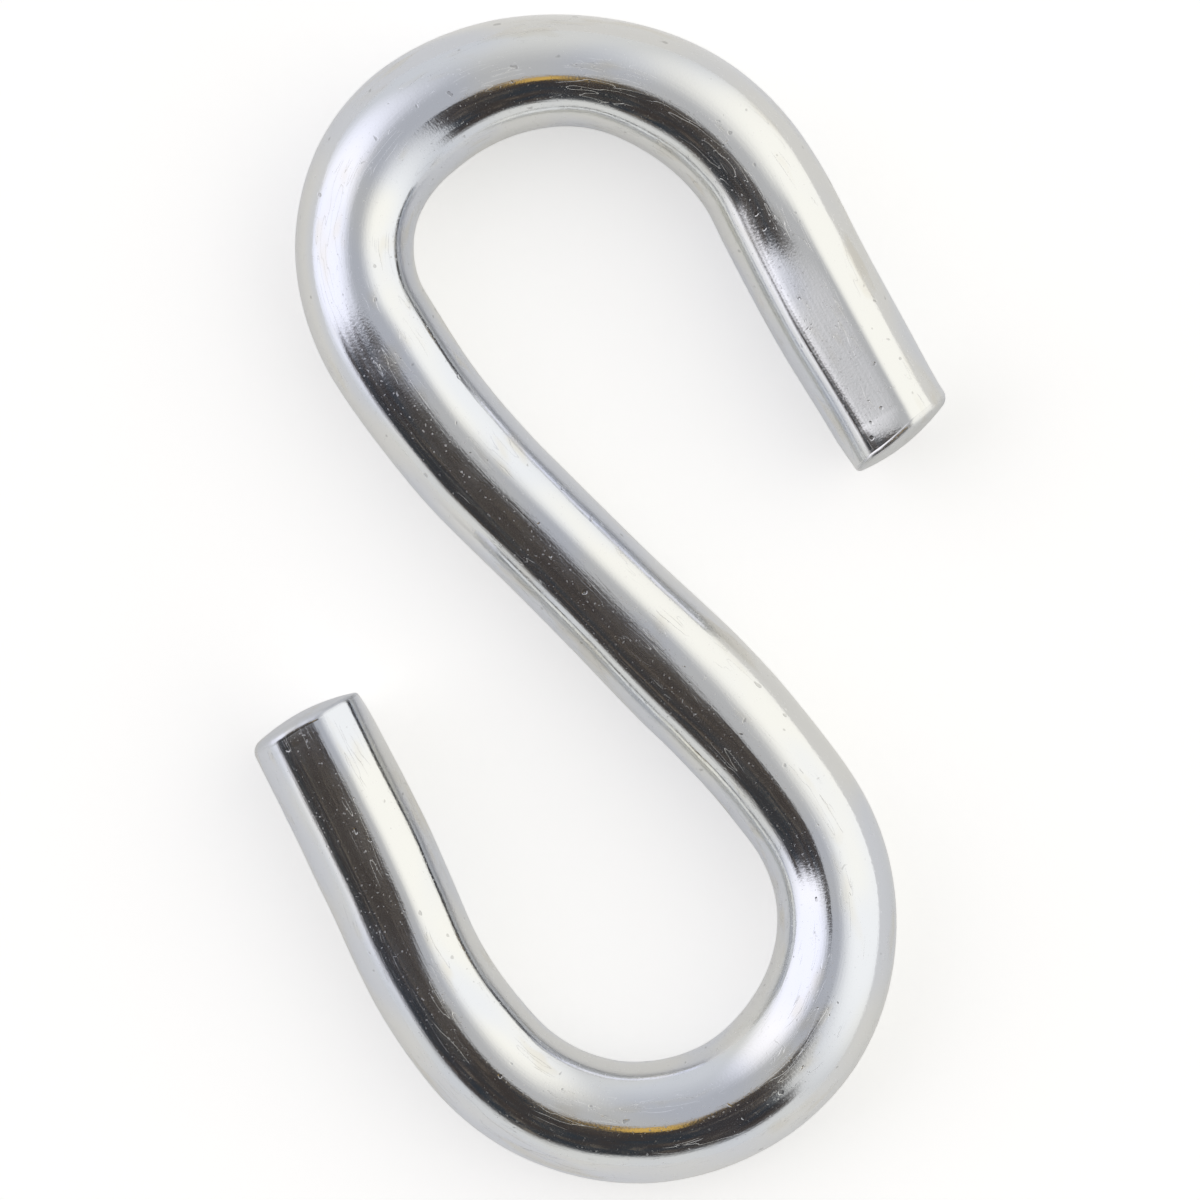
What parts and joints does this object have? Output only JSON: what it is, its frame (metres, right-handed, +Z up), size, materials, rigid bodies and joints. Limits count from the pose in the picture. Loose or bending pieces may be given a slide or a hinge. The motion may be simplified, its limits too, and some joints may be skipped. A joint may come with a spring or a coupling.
{
  "type": "s hook",
  "caption": "Open hook bent in an S from round steel wire, with unequal crowns and slightly flared, tumbled tips.",
  "frame": {"origin": "under the middle of the hook's box, on the surface that the hook lies on", "axes": "+Y from the lower crown to the upper crown, along the pull of the load; +Z up through the wire's flat plane; the two legs point to +X at the top and to -X at the bottom"},
  "size_m": [0.0374, 0.0604, 0.0063],
  "materials": {
    "zinc_plated_steel": "bright zinc plating on steel wire, polished by tumbling"
  },
  "bodies": {
    "root": {"s_hook": "zinc_plated_steel"}
  },
  "joints": []
}
